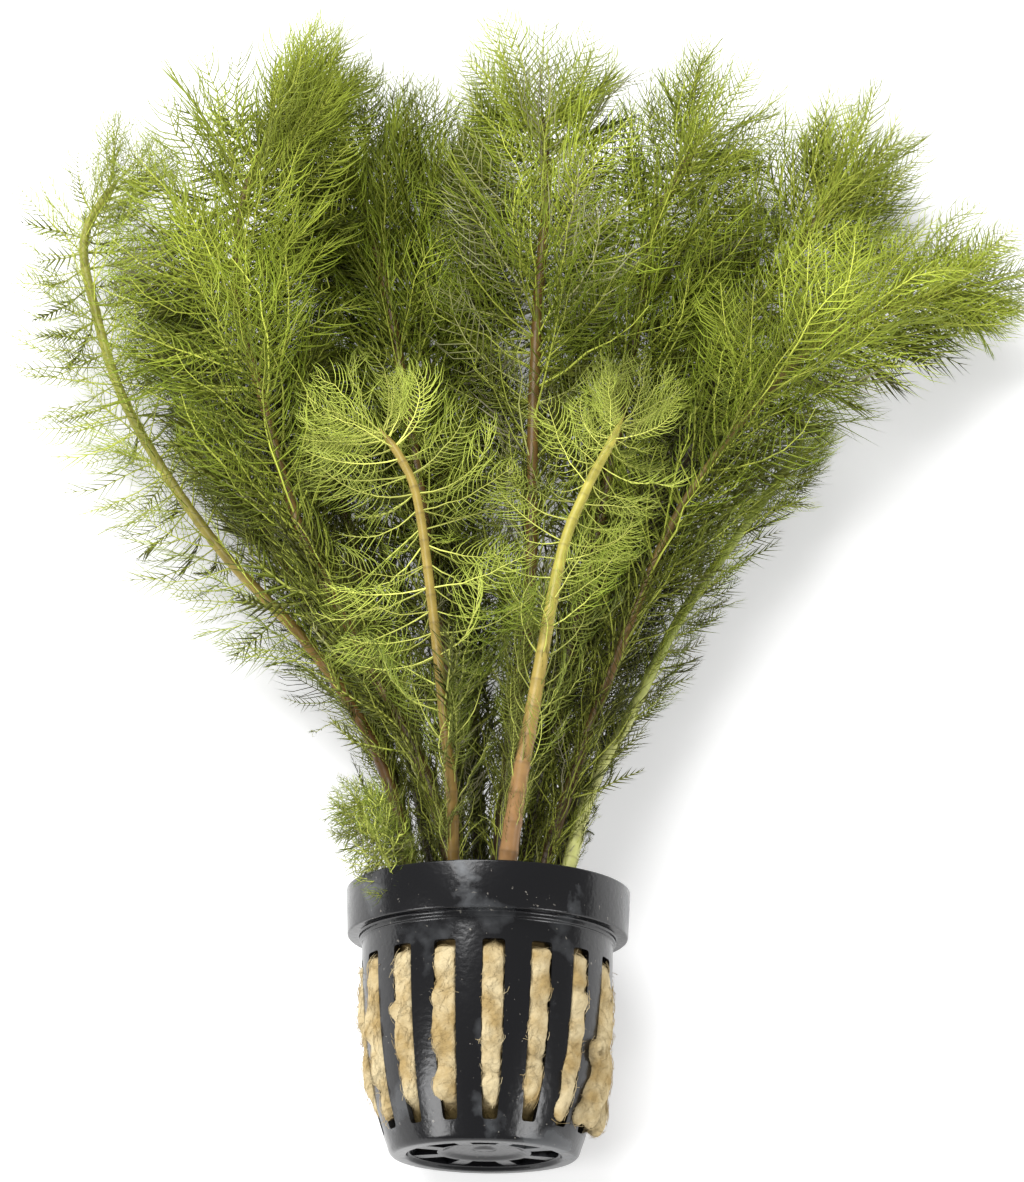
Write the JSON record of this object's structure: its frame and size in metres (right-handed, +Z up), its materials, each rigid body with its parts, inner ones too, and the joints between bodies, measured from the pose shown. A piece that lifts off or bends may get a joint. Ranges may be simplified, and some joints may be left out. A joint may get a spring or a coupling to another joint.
{
  "type": "potted water milfoil",
  "caption": "Bunch of feathery submerged water milfoil shoots rooted in rock wool in a slotted black net pot, lying on its side with the foliage fanned out.",
  "frame": {"origin": "middle of the lying plant's box, on the surface that it lies on", "axes": "+Y along the surface from the pot's base to the leaf tips, +X to the right as seen from the pot's side, +Z up"},
  "size_m": [0.1916, 0.2218, 0.0672],
  "materials": {
    "pot_plastic": "glossy black moulded plastic with dried water stains",
    "wool_fibre": "damp beige mineral fibre",
    "leaves_fresh": "soft thin green leaves, slightly wet",
    "leaves_bright": "soft thin yellow-green leaves, slightly wet",
    "leaves_deep": "soft thin deep green leaves, slightly wet",
    "leaves_dark": "wet blackish old leaves"
  },
  "bodies": {
    "root": {"pot": "pot_plastic", "rock_wool": "wool_fibre", "shoot_far_left": "leaves_fresh", "shoot_left_plume": "leaves_fresh", "shoot_left_back": "leaves_deep", "shoot_middle_back": "leaves_deep", "shoot_centre": "leaves_fresh", "shoot_right_back": "leaves_fresh", "shoot_right_under": "leaves_fresh", "shoot_far_right": "leaves_fresh", "shoot_right_edge": "leaves_fresh", "shoot_dark_right": "leaves_dark", "shoot_front_left": "leaves_bright", "shoot_front_right": "leaves_bright", "shoot_left_under": "leaves_deep", "shoot_left_low": "leaves_deep", "low_tuft": "leaves_bright"}
  },
  "joints": []
}
